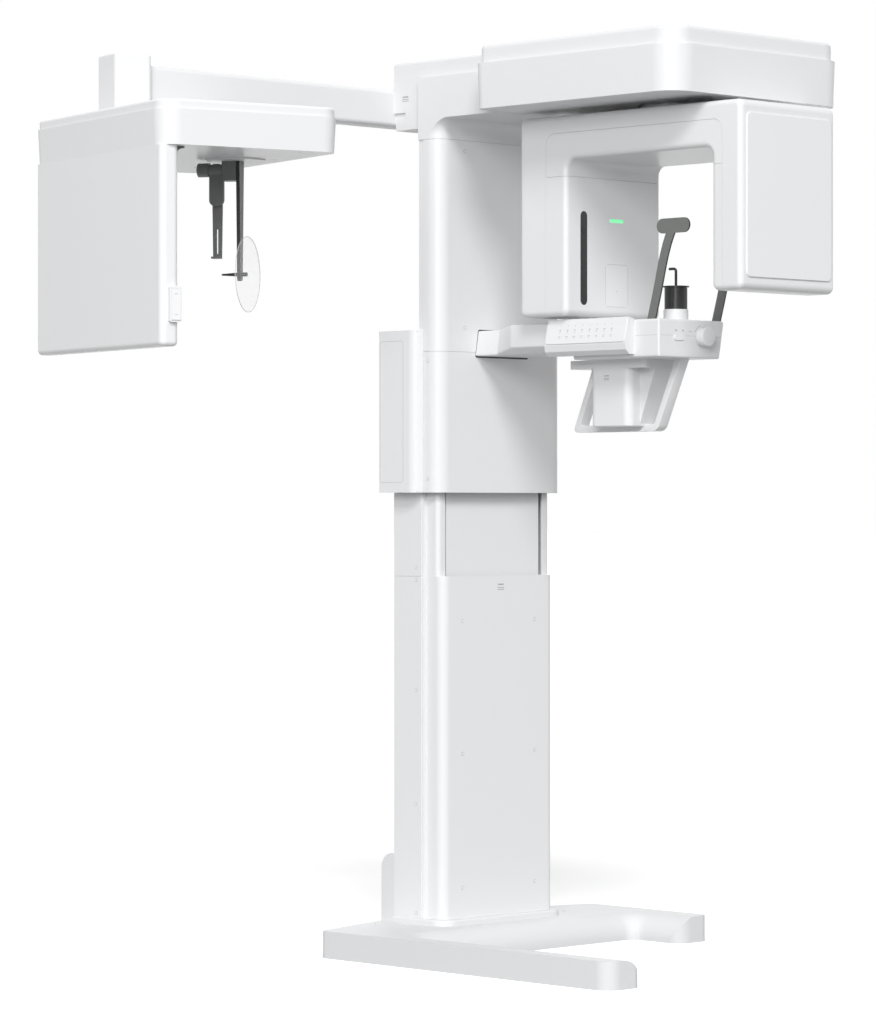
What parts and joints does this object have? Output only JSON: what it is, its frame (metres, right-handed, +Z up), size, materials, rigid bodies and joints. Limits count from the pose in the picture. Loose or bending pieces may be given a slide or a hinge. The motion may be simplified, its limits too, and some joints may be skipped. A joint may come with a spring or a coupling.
{
  "type": "dental cone-beam ct scanner",
  "caption": "Floor-standing dental cone-beam CT unit: lifting column, C-shaped gantry turning about the patient, chin rest console with temple supports, and a cephalometric arm",
  "frame": {"origin": "on the floor, under the middle of the fixed column", "axes": "+Z is up, -Y is the side where the patient stands, +X is to the right seen from the patient's side"},
  "size_m": [1.9399, 1.3468, 2.33],
  "materials": {
    "cover_white": "satin moulded covers",
    "panel_white": "smooth white plates and keys",
    "column_paint": "satin white powder coat",
    "base_paint": "satin white powder coat",
    "frame_metal": "mill finish",
    "steel": "ground",
    "grey_plastic": "dark grey moulded",
    "black_plastic": "black moulded",
    "light_green": "lit status bar",
    "clear_plastic": "clear sheet"
  },
  "bodies": {
    "stand": {"floor_base": "base_paint", "column_foot": "base_paint", "rear_bracket": "base_paint", "fixed_column": "column_paint", "column_side_covers": "column_paint", "lower_front_cover": "column_paint", "guide_rails": "steel", "lift_actuator": "steel"},
    "carriage": {"lift_rod": "steel", "mast": "column_paint", "guide_blocks": "steel", "carriage_frame": "column_paint", "carriage_pan_lower": "cover_white", "carriage_pan_upper": "cover_white", "side_box": "cover_white", "neck_cover": "cover_white", "head_cap": "cover_white", "arm_socket": "column_paint", "top_beam": "frame_metal", "top_shell": "cover_white", "top_cap": "cover_white", "turn_bearing": "steel", "support_arm": "cover_white", "console_body": "cover_white", "console_front_cap": "cover_white", "keypad_pod": "cover_white", "keypad_panel": "panel_white", "chin_cup": "black_plastic", "under_tray": "cover_white", "hand_grip": "cover_white", "handle_housing": "cover_white", "ceph_arm": "column_paint", "ceph_post": "cover_white", "ceph_shell": "cover_white", "ceph_cap": "cover_white", "sensor_housing": "cover_white", "cove_bracket": "grey_plastic"},
    "door": {"side_box_door": "cover_white"},
    "gantry": {"gantry_band": "cover_white", "gantry_beam_cover": "cover_white", "detector_cover": "cover_white", "source_cover": "cover_white", "slit_window": "black_plastic", "beam_window_plate": "panel_white", "status_light": "light_green", "detector_front_plate": "panel_white", "gantry_frame": "frame_metal", "tube_head": "frame_metal", "flat_panel": "black_plastic"},
    "temple_left": {"temple_support_left": "grey_plastic"},
    "temple_right": {"temple_support_right": "grey_plastic"},
    "knob": {"temple_knob": "panel_white"},
    "button": {"console_button": "panel_white"},
    "rocker": {"switch_rocker": "panel_white"},
    "turntable": {"ear_turntable": "cover_white", "ear_holder": "grey_plastic"},
    "nose": {"nose_plate": "grey_plastic"},
    "nose_tip": {"nose_arm": "grey_plastic"},
    "ear": {"ear_rod": "grey_plastic", "clear_disc": "clear_plastic"}
  },
  "joints": [
    {"name": "lift_slide", "type": "slide", "parent": "stand", "child": "carriage", "axis": [0, 0, 1], "range_m": [-0.7, 0]},
    {"name": "door_hinge", "type": "hinge", "parent": "carriage", "child": "door", "pos_m": [-0.2612, 0.074, 1.407], "axis": [0, 0, -1], "range_deg": [0, 100]},
    {"name": "gantry_turn", "type": "hinge", "parent": "carriage", "child": "gantry", "pos_m": [0, -0.732, 2.16], "axis": [0, 0, 1], "range_deg": [-180, 180]},
    {"name": "knob_turn", "type": "hinge", "parent": "carriage", "child": "knob", "pos_m": [0.031, -0.8, 1.586], "axis": [0, 1, 0], "range_deg": [0, 120]},
    {"name": "temple_left_swing", "type": "hinge", "parent": "carriage", "child": "temple_left", "pos_m": [-0.104, -0.75, 1.59], "axis": [0, 1, 0], "range_deg": [0, 12]},
    {"name": "temple_right_swing", "type": "hinge", "parent": "carriage", "child": "temple_right", "pos_m": [0.104, -0.75, 1.59], "axis": [0, -1, 0], "range_deg": [0, 12]},
    {"name": "button_press", "type": "slide", "parent": "carriage", "child": "button", "axis": [0, 1, 0], "range_m": [0, 0.002], "stiffness_N_per_m": 500},
    {"name": "rocker_tilt", "type": "hinge", "parent": "carriage", "child": "rocker", "pos_m": [-1.4073, -0.43778, 1.6295], "axis": [0.9738, -0.2273, 0], "range_deg": [-5, 5], "stiffness_Nm_per_rad": 1},
    {"name": "table_turn", "type": "hinge", "parent": "carriage", "child": "turntable", "pos_m": [-1.03191, -0.22451, 2], "axis": [0, 0, 1], "range_deg": [-90, 90]},
    {"name": "nose_swing", "type": "hinge", "parent": "turntable", "child": "nose", "pos_m": [-1.03191, -0.22451, 1.978], "axis": [-0.4848, 0.8746, 0], "range_deg": [0, 90]},
    {"name": "nose_slide", "type": "slide", "parent": "nose", "child": "nose_tip", "axis": [0, 0, 1], "range_m": [-0.04, 0]},
    {"name": "ear_slide", "type": "slide", "parent": "turntable", "child": "ear", "axis": [0.4848, -0.8746, 0], "range_m": [0, 0.04]}
  ],
  "couplings": [
    {"joint": "temple_left_swing", "follows": "knob_turn", "ratio": 0.1},
    {"joint": "temple_right_swing", "follows": "knob_turn", "ratio": 0.1}
  ]
}
